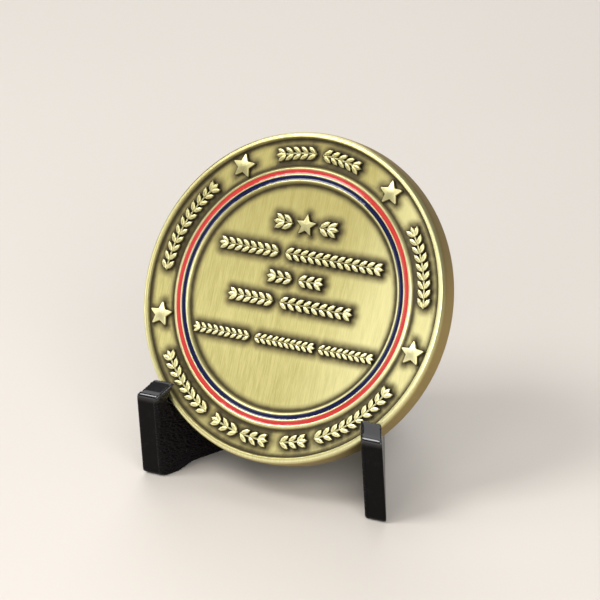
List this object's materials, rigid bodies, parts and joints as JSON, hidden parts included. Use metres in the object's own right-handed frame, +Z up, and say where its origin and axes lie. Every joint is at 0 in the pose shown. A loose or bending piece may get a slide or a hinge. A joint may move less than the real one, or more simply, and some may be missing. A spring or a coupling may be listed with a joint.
{
  "type": "challenge coin",
  "caption": "Struck antique-brass challenge coin with red and navy enamel rings and raised stars, leaning on a folding black plastic easel.",
  "frame": {"origin": "on the ground, under the middle of the whole object's box", "axes": "+Z up, the coin's front faces -Y and leans back towards +Y, +X to the right of a viewer who faces the coin"},
  "size_m": [0.0444, 0.0318, 0.0437],
  "materials": {
    "antique_brass": "satin brushed antique brass with dark patina in the recesses and bright relief tops",
    "red_enamel": "glossy dished enamel",
    "navy_enamel": "glossy dished enamel",
    "black_plastic": "satin black moulding, fine pebble on the inner faces",
    "steel_pin": "drawn steel"
  },
  "bodies": {
    "left_plate": {"left_arm": "black_plastic", "hinge_pin": "steel_pin"},
    "right_plate": {"right_arm": "black_plastic"},
    "coin": {"coin_body": "antique_brass", "red_enamel_ring": "red_enamel", "navy_enamel_ring": "navy_enamel"}
  },
  "joints": [
    {"name": "easel_fold", "type": "hinge", "parent": "left_plate", "child": "right_plate", "pos_m": [0, 0.01357, 0], "axis": [0, 0, -1], "range_deg": [0, 56]},
    {"name": "coin_lift", "type": "slide", "parent": "left_plate", "child": "coin", "axis": [0, 0.342, 0.9397], "range_m": [0, 0.0684]}
  ],
  "couplings": [
    {"joint": "easel_fold", "follows": "coin_lift", "rad_per_m": 14.28}
  ]
}
